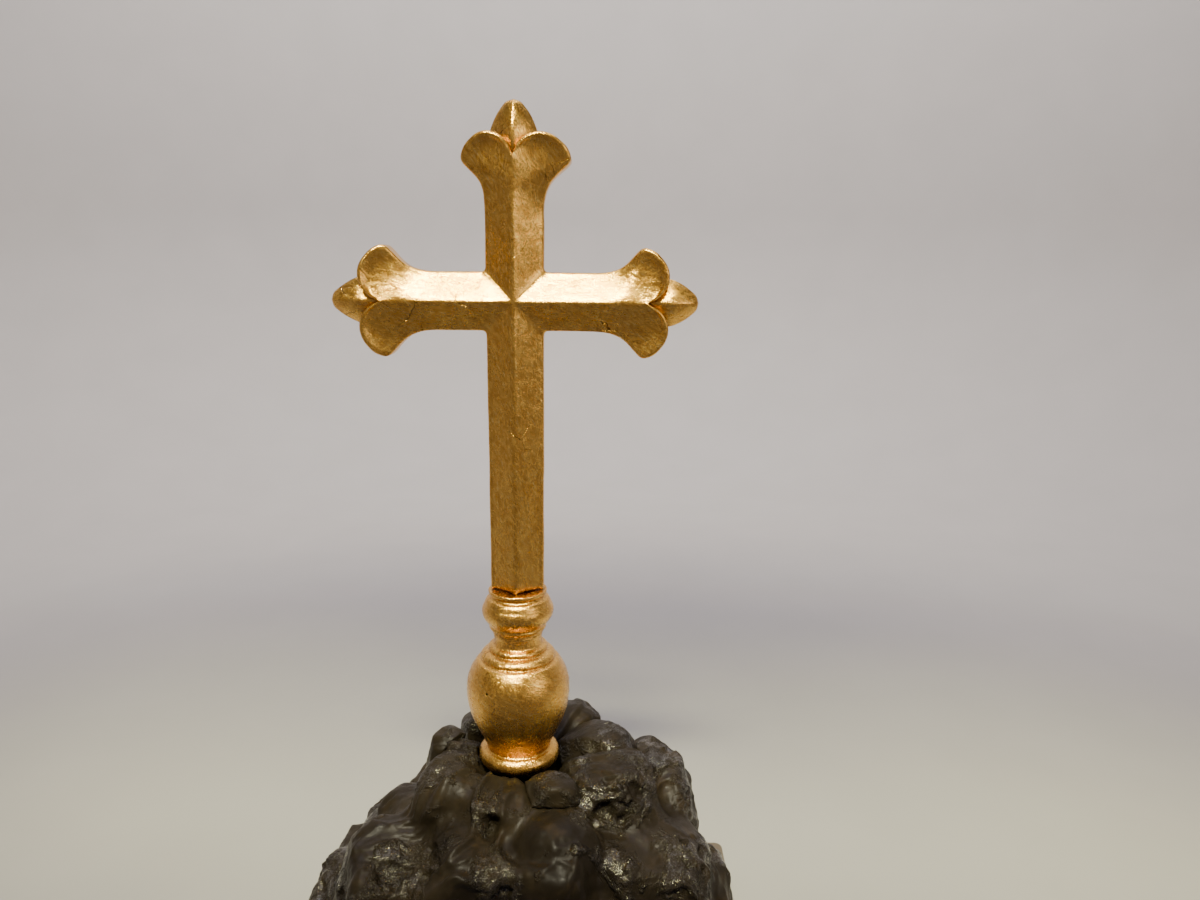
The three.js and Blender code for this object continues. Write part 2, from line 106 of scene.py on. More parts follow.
def fractal(points, wavelength, seed, octaves=4, gain=0.5):
    """Noise of several wavelengths on top of each other, each half of the one before."""
    wavelength = np.asarray(wavelength, float)
    total = np.zeros(len(points))
    weight, spent = 1.0, 0.0
    for octave in range(octaves):
        total += weight * soft_noise(points, wavelength / 2 ** octave, seed + octave)
        spent += weight
        weight *= gain
    return total / spent * FRACTAL_SPREAD


def ramp(value, low, high):
    """0 below low, 1 above high and a smooth rise between them."""
    share = np.clip((value - low) / (high - low), 0, 1)
    return share * share * (3 - 2 * share)


def smooth_open(points, rounds):
    """Rounds off the corners of an open line and leaves its ends in place."""
    for _ in range(rounds):
        points = points.copy()
        points[1:-1] += 0.5 * ((points[:-2] + points[2:]) / 2 - points[1:-1])
    return points


def smooth_curve(points, per_span=10):
    """Points of a Catmull-Rom curve through the given ones."""
    points = np.asarray(points, float)
    padded = np.vstack([2 * points[0] - points[1], points, 2 * points[-1] - points[-2]])
    out = []
    for a, b, c, d in zip(padded[:-3], padded[1:-2], padded[2:-1], padded[3:]):
        for t in np.arange(per_span) / per_span:
            out.append(
                b + 0.5 * t * (c - a + t * (2 * a - 5 * b + 4 * c - d + t * (3 * (b - c) + d - a)))
            )
    out.append(points[-1])
    return np.array(out)


# ---- Mesh tools ----

def new_object(name, mesh):
    piece = bpy.data.objects.new(name, mesh)
    bpy.context.scene.collection.objects.link(piece)
    return piece


def coordinates(mesh):
    flat = np.empty(3 * len(mesh.vertices))
    mesh.vertices.foreach_get("co", flat)
    return flat.reshape(-1, 3)


def set_coordinates(mesh, points):
    mesh.vertices.foreach_set("co", points.ravel())
    mesh.update()


def normals(mesh):
    flat = np.empty(3 * len(mesh.vertices), np.float32)
    mesh.vertex_normals.foreach_get("vector", flat)
    return flat.reshape(-1, 3).astype(float)


def smooth_shaded(mesh):
    mesh.polygons.foreach_set("use_smooth", [True] * len(mesh.polygons))


def grid_faces(rows, columns, start=0):
    return [
        (start + r * columns + c, start + r * columns + c + 1,
         start + (r + 1) * columns + c + 1, start + (r + 1) * columns + c)
        for r in range(rows - 1)
        for c in range(columns - 1)
    ]


def mesh_from_grids(name, grids, weld=0.004 * MM):
    """Joins grids of points along their shared edges into one closed mesh that faces out."""
    points, faces = [], []
    for grid in grids:
        rows, columns = grid.shape[:2]
        faces += grid_faces(rows, columns, len(points))
        points += grid.reshape(-1, 3).tolist()
    mesh = bpy.data.meshes.new(name)
    mesh.from_pydata(points, [], faces)
    work = bmesh.new()
    work.from_mesh(mesh)
    bmesh.ops.remove_doubles(work, verts=work.verts, dist=weld)
    bmesh.ops.holes_fill(work, edges=[edge for edge in work.edges if edge.is_boundary])
    bmesh.ops.triangulate(work, faces=[face for face in work.faces if len(face.verts) > 4])
    bmesh.ops.recalc_face_normals(work, faces=work.faces)
    work.to_mesh(mesh)
    work.free()
    smooth_shaded(mesh)
    return mesh


def store_grain(mesh, grain):
    """Keeps the directions that brush strokes and leaf follow, in metres."""
    attribute = mesh.attributes.new("grain", "FLOAT_VECTOR", "POINT")
    attribute.data.foreach_set("vector", grain.astype(np.float32).ravel())


def rough_up(mesh, seed, slow=(24 * MM, 0.20 * MM), quick=(5 * MM, 0.05 * MM)):
    """The slight unevenness of a surface that was carved or turned, gessoed and rubbed by hand.

    Slow and quick are the wavelength and height of its long and short waves.
    """
    points = coordinates(mesh)
    height = slow[1] * fractal(points, slow[0], seed, 2)
    height = height + quick[1] * fractal(points, quick[0], seed + 9, 3)
    set_coordinates(mesh, points + normals(mesh) * height[:, None])


# ---- Gilded cross ----

EDGE = 3.75 * MM
EDGE_ROUND = 2.0 * MM
INNER_FILLET = 2.6 * MM
RIDGE_SOFTNESS = 0.05
HEAD_START = 48 * MM
LOBE_CENTRE = np.array([15.6, 76.4]) * MM
LOBE_RADIUS = BEAM_HIGH.x - LOBE_CENTRE[1]
LOBE_START = math.radians(45)
TIP = np.array([PETAL_TIP_U, 76 * MM])
FLARE_HANDLE = 18 * MM
TIP_LEAD = np.array([8, 8.5]) * MM
TIP_BEND = np.array([1, 8]) * MM
RIM_RISE = 8.5 * MM
RIM_CURVE = 1.4
DISH = 2.3 * MM
DISH_ALONG, DISH_CURVE = 1.25, 1.3
RIM_LIP = 0.9 * MM
LIP_START = 0.72
NOTCH_SHARE = 0.05  # the rounding fades out over the last part of the outline, into the notch
COLUMN_CROWDING = 1.15  # columns lie closer together near the ridge
FACE_COLUMNS = 22
ROUND_COLUMNS = 5
WALL_COLUMNS = 4
FOOT_NARROWING = 0.6 * MM
SHAFT_OVERLAP = 0.2 * MM

# How much wider or narrower than the mean each petal was carved.
PETAL_WIDTHS = {
    ("top", -1): -0.075, ("top", 1): 0.03,
    ("left", -1): 0.02, ("left", 1): 0.0,
    ("right", -1): -0.02, ("right", 1): 0.01,
}


def inner_corner(steps=7):
    """The filleted inner corner of the crossing, from the mitre to the bar's straight side."""
    angles = np.radians(np.linspace(45, 0, steps))
    centre = HALF_WIDTH + INNER_FILLET
    return centre - INNER_FILLET * np.column_stack([np.cos(angles), np.sin(angles)])


def bezier(points, steps):
    t = np.linspace(0, 1, steps)[:, None]
    a, b, c, d = (np.asarray(p) for p in points)
    return (1 - t) ** 3 * a + 3 * (1 - t) ** 2 * t * b + 3 * (1 - t) * t ** 2 * c + t ** 3 * d


def head_outline():
    """Half outline of a head with the share of the way to the notch at each point."""
    start = np.array([HALF_WIDTH, HEAD_START])
    flare = bezier([start, start + (0, FLARE_HANDLE), TIP - TIP_LEAD, TIP], 30)
    join = LOBE_CENTRE + LOBE_RADIUS * np.array([math.cos(LOBE_START), math.sin(LOBE_START)])
    bend = TIP + TIP_BEND * (-1, 1)
    over = bezier([TIP, TIP / 3 + bend * 2 / 3, join / 3 + bend * 2 / 3, join], 16)
    notch_angle = math.pi - math.acos(LOBE_CENTRE[0] / LOBE_RADIUS)
    angles = np.linspace(LOBE_START, notch_angle, 44)
    lobe = LOBE_CENTRE + LOBE_RADIUS * np.column_stack([np.cos(angles), np.sin(angles)])
    lobe[-1, 0] = 0
    outline = smooth_open(np.vstack([flare, over[1:], lobe[1:]]), 6)
    steps = np.linalg.norm(np.diff(outline, axis=0), axis=1)
    return outline, np.concatenate([[0], np.cumsum(steps) / steps.sum()])


def outward_normals(outline):
    along = np.gradient(outline, axis=0)
    across = np.column_stack([along[:, 1], -along[:, 0]])
    return across / np.linalg.norm(across, axis=1)[:, None]


def arm_rows(name, side):
    """Centre-line points, outline points, outward normals and head shares of one half of an arm."""
    corner = inner_corner()
    if name == "bottom":
        length = SHAFT_LENGTH + SHAFT_OVERLAP
        along = np.linspace(corner[-1, 1], length, 130)[1:]
        narrowing = FOOT_NARROWING * along / length
        outline = np.vstack([corner, np.column_stack([HALF_WIDTH - narrowing, along])])
        share = np.zeros(len(outline))
        centre = np.linspace(0, 1, len(outline)) * length
    else:
        shift = UPPER_EXTRA if name == "top" else 0.0
        along = np.linspace(corner[-1, 1], HEAD_START + shift, 20)[1:-1]
        straight = np.column_stack([np.full(len(along), HALF_WIDTH), along])
        head, head_share = head_outline()
        notch = head[-1, 1]
        widths = 1 + PETAL_WIDTHS[name, side] * ramp(head_share, 0, 0.25) * (1 - ramp(head_share, 0.5, 1))
        head = head * np.column_stack([widths, np.ones(len(head))]) + (0, shift)
        before = len(corner) + len(straight)
        outline = np.vstack([corner, straight, head])
        share = np.concatenate([np.zeros(before), head_share])
        head_centre = HEAD_START + (notch - HEAD_START) * np.sin(head_share * math.pi / 2) + shift
        centre = np.concatenate([
            np.linspace(0, HEAD_START + shift, before + 1)[:-1],
            head_centre,
        ])
    across = outward_normals(outline)
    across[0] = (math.sqrt(0.5), math.sqrt(0.5))
    return centre, outline, across, share


def arm_grid(name, side, face):
    """One quarter of an arm: from the ridge over the facet and the rounded edge to the middle plane."""
    centre, outline, across, share = arm_rows(name, side)
    edge = EDGE + RIM_RISE * np.sin(share * math.pi / 2) ** RIM_CURVE
    rounding = EDGE_ROUND * np.clip((1 - share) / NOTCH_SHARE, 0, 1)
    inset = outline - across * rounding[:, None]
    middle = np.column_stack([np.zeros(len(centre)), centre])
    s = np.linspace(0, 1, FACE_COLUMNS) ** COLUMN_CROWDING
    softened = s - RIDGE_SOFTNESS * (1 - np.exp(-s / RIDGE_SOFTNESS))
    softened /= softened[-1]
    flat = middle[:, None] + (inset - middle)[:, None] * s[None, :, None]
    swell = np.sin(share ** DISH_ALONG * math.pi)[:, None].clip(0) ** DISH_CURVE
    depth = RIDGE + (edge[:, None] - RIDGE) * softened
    depth = depth - DISH * swell * 4 * s * (1 - s) * (0.6 + 0.8 * s)
    depth = depth + RIM_LIP * swell * ramp(s, LIP_START, 1.0)
    turn = np.linspace(0, math.pi / 2, ROUND_COLUMNS + 1)[1:]
    lip = edge + RIM_LIP * swell[:, 0]
    around = inset[:, None] + across[:, None] * (rounding[:, None] * np.sin(turn))[..., None]
    around_depth = lip[:, None] - rounding[:, None] * (1 - np.cos(turn))
    wall_share = np.linspace(1, 0, WALL_COLUMNS + 1)[1:]
    wall = np.repeat(outline[:, None], WALL_COLUMNS, axis=1)
    wall_depth = (lip - rounding)[:, None] * wall_share
    plane = np.concatenate([flat, around, wall], axis=1)
    depths = np.concatenate([depth, around_depth, wall_depth], axis=1)
    u, v = side * plane[..., 0], plane[..., 1]
    directions = {"top": (u, v), "bottom": (u, -v), "right": (v, -u), "left": (-v, u)}
    x, z = directions[name]
    return np.stack([x, face * depths, CROSSING_Z + z], axis=-1)


def cross_grain(points):
    """Strokes run along each arm: the third value follows the arm."""
    x, y, z = points.T
    z = z - CROSSING_Z
    lying = np.abs(x) > np.abs(z)
    return np.column_stack([np.where(lying, z, x), y, np.where(lying, x, z)])


def gilded_cross():
    arms = ("top", "right", "left", "bottom")
    grids = [arm_grid(name, side, face) for name in arms for side in (-1, 1) for face in (-1, 1)]
    mesh = mesh_from_grids("gilded_cross", grids)
    relax(mesh, 2)
    rough_up(mesh, seed=3)
    store_grain(mesh, cross_grain(coordinates(mesh)))
    piece = new_object("gilded_cross", mesh)
    petals = [name for name in frame["nodes"] if name.startswith("petal_")]
    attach(piece, CROSS_BODY)
    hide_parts("upright", "crossbeam", *sorted(petals))
    mesh.materials.append(GOLD)


# Bud: [half width, distance beyond its root].
BUD_OUTLINE = np.array([
    [13.2, 0], [14.2, 7], [13.9, 13], [12, 18], [9.6, 22.4], [6.9, 26.2], [4, 29.2], [0, 30.6],
]) * MM
BUD_DEPTH_SHARE = 0.66
BUD_SIDES = 72
BUD_RIDGE = 0.55  # the share of its depth that falls away straight from the ridge, the rest bulges
BUD_BULGE = 2.4


def bud(name, turn, tip):
    """A pointed bud with a ridge down its front and back, made pointing up and turned onto its arm."""
    outline = smooth_curve(BUD_OUTLINE, 6)
    outline[-1, 0] = 0
    angle = np.linspace(0, 2 * math.pi, BUD_SIDES, endpoint=False)
    across, out = np.sin(angle), np.cos(angle)
    facet = np.sign(out) * (1 - BUD_RIDGE * np.abs(across) - (1 - BUD_RIDGE) * np.abs(across) ** BUD_BULGE)
    root = tip - outline[-1, 1]
    ring = np.stack([
        outline[:, :1] * across,
        -outline[:, :1] * BUD_DEPTH_SHARE * facet,
        np.repeat(root + outline[:, 1:], BUD_SIDES, axis=1),
    ], axis=-1)
    ring = np.concatenate([ring, ring[:, :1]], axis=1)
    ring = ring @ np.array(Matrix.Rotation(turn, 3, "Y")).T
    ring[..., 2] += CROSSING_Z
    mesh = mesh_from_grids(name, [ring])
    rough_up(mesh, seed=17, slow=(14 * MM, 0.3 * MM))
    store_grain(mesh, cross_grain(coordinates(mesh)))
    piece = new_object(f"{name}_gilded", mesh)
    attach(piece, CROSS_BODY)
    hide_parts(name)
    mesh.materials.append(GOLD)


# ---- Turned knop: [radius, height above the foot ring's underside] ----

FOOT_RING = [
    (5.3, 0), (14, 0), (20.6, 0.1), (23.6, 0.9), (25.6, 2.7), (26.6, 5.2), (26.4, 7.8), (25.2, 9.9),
    (23.5, 11.2), (22.2, 11.6), (21.4, 12.2), (20.6, 12.6), (12, 12.6), (5.3, 12.6),
]
VASE = [
    (5.3, 12.1), (14, 12.1), (20.1, 12.1), (20.9, 13.3), (22.2, 16.2), (24.1, 20.6), (26.8, 26),
    (29.4, 31.4), (31.4, 37.2), (32.8, 43.2), (33.6, 49), (33.7, 54), (33.3, 58.6), (32.3, 62.8),
    (30.9, 66.4), (29.3, 69.4), (27.7, 71.8), (26.6, 73), (25.4, 73.6), (24.4, 74), (24.1, 74.7),
    (24.5, 75.5), (24.3, 76.5), (23.3, 77.8),
    (21.7, 78.9), (20.2, 79.4), (19.3, 79.8), (19.1, 80.5), (19.4, 81.4), (18.9, 82.6),
    (17.6, 83.4), (16.3, 83.9), (15.7, 85), (15.5, 88), (15.5, 92.2), (10, 92.2), (5.3, 92.2),
]
COLLAR = [
    (5.3, 92.1), (12, 92.1), (16.3, 92.2), (16.6, 93.6), (17.3, 94.5), (18.2, 95), (18.6, 96), (18.3, 97),
    (18.7, 98), (20.3, 99.9), (22, 102.4), (23, 105.2), (23.1, 107.8), (22.5, 110), (21.7, 111.4),
    (21.4, 112.3), (20.9, 113.7), (19.8, 115.2), (18.4, 116), (17.6, 116.8), (17.7, 117.8),
    (18.5, 118.5), (18.8, 119.5), (18.6, 120.6), (17, 120.9), (10, 120.9), (5.3, 120.9),
]
TURNED_SIDES = 160
TURNED_GRAIN = 2.4  # turned pieces show shorter strokes than the bars


def turned(name, profile, seed):
    outline = smooth_curve(np.array(profile) * MM, 5)
    outline = np.vstack([outline, outline[:1]])
    outline[:, 0] = np.maximum(outline[:, 0], profile[0][0] * MM)
    angle = np.linspace(0, 2 * math.pi, TURNED_SIDES + 1)
    radius, height = outline[:, :1], outline[:, 1:]
    grid = np.stack([
        radius * np.cos(angle),
        radius * np.sin(angle),
        np.repeat(FOOT_Z + height, len(angle), axis=1),
    ], axis=-1)
    mesh = mesh_from_grids(name, [grid])
    rough_up(mesh, seed, slow=(30 * MM, 0.16 * MM))
    x, y, z = coordinates(mesh).T
    around = np.arctan2(x, -y) * RING_RADIUS
    store_grain(mesh, np.column_stack([around, np.hypot(x, y), z * TURNED_GRAIN]))
    piece = new_object(f"{name}_gilded", mesh)
    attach(piece, CROSS_BODY)
    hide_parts(name)
    mesh.materials.append(GOLD)


# ---- Rock mound ----

ROCKS = sorted(name for name in frame["nodes"] if name.startswith("rock_"))
ROCK_BOXES = np.array([[list(corner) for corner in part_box(name)] for name in ROCKS])
MOUND_LOW, MOUND_HIGH = ROCK_BOXES[:, 0].min(0), ROCK_BOXES[:, 1].max(0)

# The stones that stand apart under a coat of their own, with the seed of each.
LOOSE_ROCKS = {
    "rock_left_block": 5, "rock_back_left_slab": 6, "rock_front_right_flat": 7, "rock_right_back_slab": 8,
}
COAT_SEED = 21
COAT_STONES_SEED = 60
BLEND_VOXEL = 2.2 * MM
COAT_VOXEL = 1.4 * MM
ROCK_VOXEL = 1.3 * MM
COAT_SWELL = 3.2 * MM
LOOSE_SWELL = 1.0 * MM
DRAPE_REACH = 6 * MM

STONE_FACES = 7
FACE_DEPTH = (0.72, 0.95)  # how far out each face is cut, as shares of the stone's reach
FACE_LIFT = 0.3  # turns the faces a little upwards

CORE_GAP = 0.6 * MM
PLASTER = 11 * MM
SKIRT = np.array([[8, 20, 0], [50, 95, 22]]) * MM  # over the board's left rear, from its edge and top
BOX_SIDES = ((0, 1, 3, 2), (4, 6, 7, 5), (0, 4, 5, 1), (2, 3, 7, 6), (0, 2, 6, 4), (1, 5, 7, 3))

RING_CLEARANCE = 0.7 * MM
SEAT_CLEARANCE = 0.4 * MM
# Between these heights the clearance widens from the seat's to the ring's.
BESIDE_RING = (FOOT_Z - 3 * MM, FOOT_Z - 0.5 * MM)
RELAX_STEP = 0.6

# Rounded lumps that stand out of the coat: [centre, radii], measured from the foot ring's middle.
PROUD_LUMPS = [
    ((28, -61, -31), (30, 28, 30)),
    ((-9, -43, -8), (16, 13, 10)),
]
LUMP_STEPS = 24
# Where the coat broke up into small shiny crumples: [place, radius].
CRUMPLED = [
    ((-62, -74, -36), 30), ((-116, -20, -70), 26), ((-14, -54, -4), 12), ((-5, -80, -27), 20),
    ((67, -41, -14), 17), ((112, 0, -30), 20), ((104, -66, -34), 26), ((-30, 70, -40), 30),
]
# Holes under overhangs: [place, radius, depth].
DENTS = [((-12, -62, -9), 8, 7), ((-46, -78, -34), 7, 5), ((57, -44, -10), 7, 5)]

# How the coat is shaped. A wavelength is followed by its height.
BEND_WAVE, BEND_SIZE = 34 * MM, 9 * MM
BULGE_WAVE, BULGE_SIZE = 46 * MM, 1.6 * MM
TOOTH_WAVE, TOOTH_SIZE = 7 * MM, 0.32 * MM
CRUMPLE_WAVE = 11 * MM
PIT_WAVE = 12 * MM
CRUMPLED_AREAS = 38 * MM
# Folds and pleats run down the slopes, spaced as if at one radius: [apart, along].
DRAPE_RADIUS = 75 * MM
FOLD_WAVES = (27 * MM, 80 * MM, 1)
PLEAT_WAVES = (12 * MM, 32 * MM, 1)
PLEAT_SIZE = 0.55
PLEATED_AREAS = 30 * MM


def chipped_stone(name, seed):
    """A copy of a CAD stone with a few flat faces broken off it."""
    chance = np.random.default_rng(seed)
    work = bmesh.new()
    work.from_mesh(frame["nodes"][name].data)
    bmesh.ops.remove_doubles(work, verts=work.verts, dist=0.01 * MM)
    low, high = (np.array(corner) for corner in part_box(name))
    middle = (low + high) / 2
    for _ in range(STONE_FACES):
        toward = chance.normal(size=3) + (0, 0, FACE_LIFT)
        toward /= np.linalg.norm(toward)
        reach = max(np.dot(np.array(vert.co) - middle, toward) for vert in work.verts)
        spot = middle + toward * reach * chance.uniform(*FACE_DEPTH)
        everything = list(work.verts) + list(work.edges) + list(work.faces)
        bmesh.ops.bisect_plane(work, geom=everything, plane_co=spot, plane_no=toward, clear_outer=True)
        bmesh.ops.holes_fill(work, edges=[edge for edge in work.edges if edge.is_boundary])
    bmesh.ops.triangulate(work, faces=work.faces)
    mesh = bpy.data.meshes.new(name)
    work.to_mesh(mesh)
    work.free()
    return mesh


def frame_slabs(inner, outer, low, high):
    """Four boxes that fill the space between two centred rectangles, given by their half sizes."""
    (ix, iy), (ox, oy) = inner, outer
    return [
        ((-ox, -oy, low), (ox, -iy, high)),
        ((-ox, iy, low), (ox, oy, high)),
        ((-ox, -iy - MM, low), (-ix, iy + MM, high)),
        ((ix, -iy - MM, low), (ox, iy + MM, high)),
    ]


def plaster_boxes():
    """The plaster and cloth that close the gaps between stones, laid just outside the wooden core."""
    lower, upper = (np.array(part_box(name)[1]) + CORE_GAP for name in ("core_lower", "core_upper"))
    seat = np.array([SEAT_RADIUS + CORE_GAP] * 2)
    bottom = BOARD_TOP + CORE_GAP
    return [
        tuple(SKIRT + (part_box("plinth_board")[0].x, 0, bottom)),
        *frame_slabs(lower[:2], lower[:2] + PLASTER, bottom, lower[2] + PLASTER),
        *frame_slabs(upper[:2], lower[:2] + MM, lower[2], lower[2] + PLASTER),
        *frame_slabs(upper[:2], upper[:2] + PLASTER, lower[2], upper[2] + PLASTER),
        *frame_slabs(seat, upper[:2] + MM, upper[2], upper[2] + PLASTER),
    ]


def swollen_copy(nodes, swell, seed, boxes=()):
    """One mesh of several chipped stones, each grown a little so that neighbours run together."""
    points, faces = [], []
    for number, name in enumerate(nodes):
        mesh = chipped_stone(name, seed + number)
        stone = coordinates(mesh)
        away = stone - (stone.min(0) + stone.max(0)) / 2
        away /= np.linalg.norm(away, axis=1)[:, None]
        faces += [[len(points) + i for i in face.vertices] for face in mesh.polygons]
        points += (stone + swell * away).tolist()
        bpy.data.meshes.remove(mesh)
    for box in boxes:
        start = len(points)
        points += [[box[i][0], box[j][1], box[k][2]] for i in (0, 1) for j in (0, 1) for k in (0, 1)]
        faces += [[start + corner for corner in side] for side in BOX_SIDES]
    mesh = bpy.data.meshes.new("stones")
    mesh.from_pydata(points, [], faces)
    return mesh


def remeshed(mesh, voxel):
    source = new_object("remesh_source", mesh)
    modifier = source.modifiers.new("remesh", "REMESH")
    modifier.mode = "VOXEL"
    modifier.voxel_size = voxel
    evaluated = source.evaluated_get(bpy.context.evaluated_depsgraph_get())
    result = bpy.data.meshes.new_from_object(evaluated)
    bpy.data.objects.remove(source)
    return result


def from_foot(place):
    """A place given in millimetres from the middle of the foot ring's underside."""
    return np.array(place) * MM + (0, 0, FOOT_Z)


def with_lumps(mesh, voxel):
    """The coat with its proud lumps joined on, which leaves a crease round each of them."""
    points = coordinates(mesh).tolist()
    faces = [list(face.vertices) for face in mesh.polygons]
    turn = np.linspace(0, 2 * math.pi, LUMP_STEPS + 1)
    rise = np.linspace(-math.pi / 2, math.pi / 2, LUMP_STEPS // 2 + 1)
    ball = np.array([
        [(math.cos(b) * math.cos(a), math.cos(b) * math.sin(a), math.sin(b)) for a in turn]
        for b in rise
    ])
    for centre, radii in PROUD_LUMPS:
        lump = from_foot(centre) + ball * np.array(radii) * MM
        faces += grid_faces(*lump.shape[:2], len(points))
        points += lump.reshape(-1, 3).tolist()
    joined = bpy.data.meshes.new("lumps")
    joined.from_pydata(points, [], faces)
    return remeshed(joined, voxel)


def relax(mesh, rounds):
    """Rounds edges and creases by moving points towards the mean of their neighbours."""
    edges = np.empty(2 * len(mesh.edges), np.int32)
    mesh.edges.foreach_get("vertices", edges)
    a, b = edges.reshape(-1, 2).T
    points = coordinates(mesh)
    count = np.bincount(a, minlength=len(points)) + np.bincount(b, minlength=len(points))
    for _ in range(rounds):
        total = np.zeros_like(points)
        np.add.at(total, a, points[b])
        np.add.at(total, b, points[a])
        points = points + RELAX_STEP * (total / count[:, None] - points)
    set_coordinates(mesh, points)


def offset(mesh, distance):
    """Moves a surface outwards. Out and then back in closes narrow gaps, as cloth laid over stones does."""
    set_coordinates(mesh, coordinates(mesh) + normals(mesh) * distance)
    return mesh


def keep_clear(points):
    """Holds rock outside the foot ring and the seat, above the board and inside the CAD mound."""
    points = np.clip(points, MOUND_LOW, MOUND_HIGH)
    radius = np.hypot(points[:, 0], points[:, 1])
    beside_ring = ramp(points[:, 2], *BESIDE_RING)
    least = SEAT_RADIUS + SEAT_CLEARANCE + beside_ring * (RING_RADIUS + RING_CLEARANCE - SEAT_RADIUS)
    push = np.maximum(least / np.maximum(radius, 1e-6), 1)
    points[:, :2] *= push[:, None]
    return points


def draped_folds(points, bent, size, seed):
    """Folds and finer pleats of the cloth, running down the slopes."""
    x, y, z = bent.T
    downhill = np.column_stack([np.arctan2(y, x) * DRAPE_RADIUS, np.hypot(x, y) - z, z * 0])
    crease = 1 - np.abs(fractal(downhill, FOLD_WAVES, seed + 5, 3))
    fold = size * (ramp(crease, 0.50, 1.0) ** 1.5 - 0.3)
    pleat = 1 - np.abs(fractal(downhill, PLEAT_WAVES, seed + 6, 2))
    pleated = ramp(soft_noise(points, PLEATED_AREAS, seed + 7), -0.3, 0.3)
    return fold + size * PLEAT_SIZE * (ramp(pleat, 0.55, 1.0) ** 2 - 0.2) * pleated


def crumpled_places(points, bend, seed):
    """1 where the coat broke up into small crumples and 0 where it stayed smooth."""
    crumpled = ramp(fractal(points, CRUMPLED_AREAS, seed + 23, 2), 0.0, 0.45) * 0.8
    for place, radius in CRUMPLED:
        far = np.linalg.norm(points + bend / 2 - from_foot(place), axis=1) / (radius * MM)
        crumpled = np.maximum(crumpled, 1 - ramp(far, 0.55, 1.1))
    return crumpled


def weathered(name, nodes, seed, mesh, folds, pits, wear):
    """Gives a blended mass of stones its bulges, draped folds, crumples and broken hollows.

    Folds and pits are depths. Wear is 1 where paint and cloth crumpled freely, less on smooth stones.
    """
    points = coordinates(mesh)
    out = normals(mesh)
    bend = [fractal(points, BEND_WAVE, seed + 40 + axis, 2) for axis in range(3)]
    bend = np.column_stack(bend) * BEND_SIZE
    bulge = BULGE_SIZE * fractal(points, BULGE_WAVE, seed, 2)
    fold = draped_folds(points, points + bend, folds, seed)
    crumpled = crumpled_places(points, bend, seed) * wear
    crumple = np.abs(fractal(points + bend, CRUMPLE_WAVE, seed + 31, 3))
    hollow = ramp(fractal(points + bend / 2, PIT_WAVE, seed + 11, 3), 0.25, 0.48)
    hollow = hollow * (0.06 + 0.94 * crumpled)
    tooth = TOOTH_SIZE * (1 - 2 * np.abs(fractal(points + bend / 3, TOOTH_WAVE, seed + 17, 3)))
    height = bulge + fold - pits * hollow + tooth * (0.45 * wear + 0.6 * crumpled)
    height = height - (0.7 * wear + 1.2 * crumpled) * MM * (0.35 - crumple)
    for place, radius, depth in DENTS:
        far = np.linalg.norm(points - from_foot(place), axis=1) / (radius * MM)
        height = height - depth * MM * (1 - ramp(far, 0.3, 1.15))
    set_coordinates(mesh, keep_clear(points + out * height[:, None]))
    attribute = mesh.attributes.new("crumpled", "FLOAT", "POINT")
    attribute.data.foreach_set("value", crumpled.astype(np.float32))
    smooth_shaded(mesh)
    piece = new_object(name, mesh)
    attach(piece, MOUND_BODY)
    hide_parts(*nodes)
    mesh.materials.clear()
    mesh.materials.append(ROCK)


def rock_mound():
    """One coat over most stones, and the loose stones beside it."""
    coated = [name for name in ROCKS if name not in LOOSE_ROCKS]
    stones = swollen_copy(coated, COAT_SWELL, COAT_STONES_SEED, plaster_boxes())
    blended = remeshed(stones, BLEND_VOXEL)
    relax(blended, 3)
    draped = remeshed(offset(blended, DRAPE_REACH), BLEND_VOXEL)
    relax(draped, 3)
    coat = remeshed(offset(draped, -DRAPE_REACH), COAT_VOXEL)
    coat = with_lumps(coat, COAT_VOXEL)
    relax(coat, 2)
    weathered("mound_coat", coated, COAT_SEED, coat, folds=2.4 * MM, pits=3.0 * MM, wear=1.0)
    for name, seed in LOOSE_ROCKS.items():
        rock = remeshed(swollen_copy([name], LOOSE_SWELL, seed), ROCK_VOXEL)
        relax(rock, 2)
        weathered(f"{name}_coated", [name], seed, rock, folds=0.8 * MM, pits=0.6 * MM, wear=0.35)


# ---- Board and felt ----

EASED_STEPS = 4
FLAT_ANGLE = math.radians(2)
SHARP_ANGLE = math.radians(40)


def eased(name, node, width, material):
    """A CAD plate with its sharp edges eased."""
    mesh = frame["nodes"][node].data.copy()
    piece = new_object(name, mesh)
    work = bmesh.new()
    work.from_mesh(mesh)
    bmesh.ops.remove_doubles(work, verts=work.verts, dist=0.01 * MM)
    bmesh.ops.dissolve_limit(work, angle_limit=FLAT_ANGLE, verts=work.verts, edges=work.edges)
    work.to_mesh(mesh)
    work.free()
    bevel = piece.modifiers.new("eased", "BEVEL")
    bevel.width = width
    bevel.segments = EASED_STEPS
    bevel.limit_method = "ANGLE"
    bevel.angle_limit = SHARP_ANGLE
    bevel.use_clamp_overlap = True
    evaluated = piece.evaluated_get(bpy.context.evaluated_depsgraph_get())
    piece.modifiers.clear()
    piece.data = bpy.data.meshes.new_from_object(evaluated)
    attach(piece, MOUND_BODY)
    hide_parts(node)
    piece.data.materials.clear()
    piece.data.materials.append(material)


# ---- Materials ----

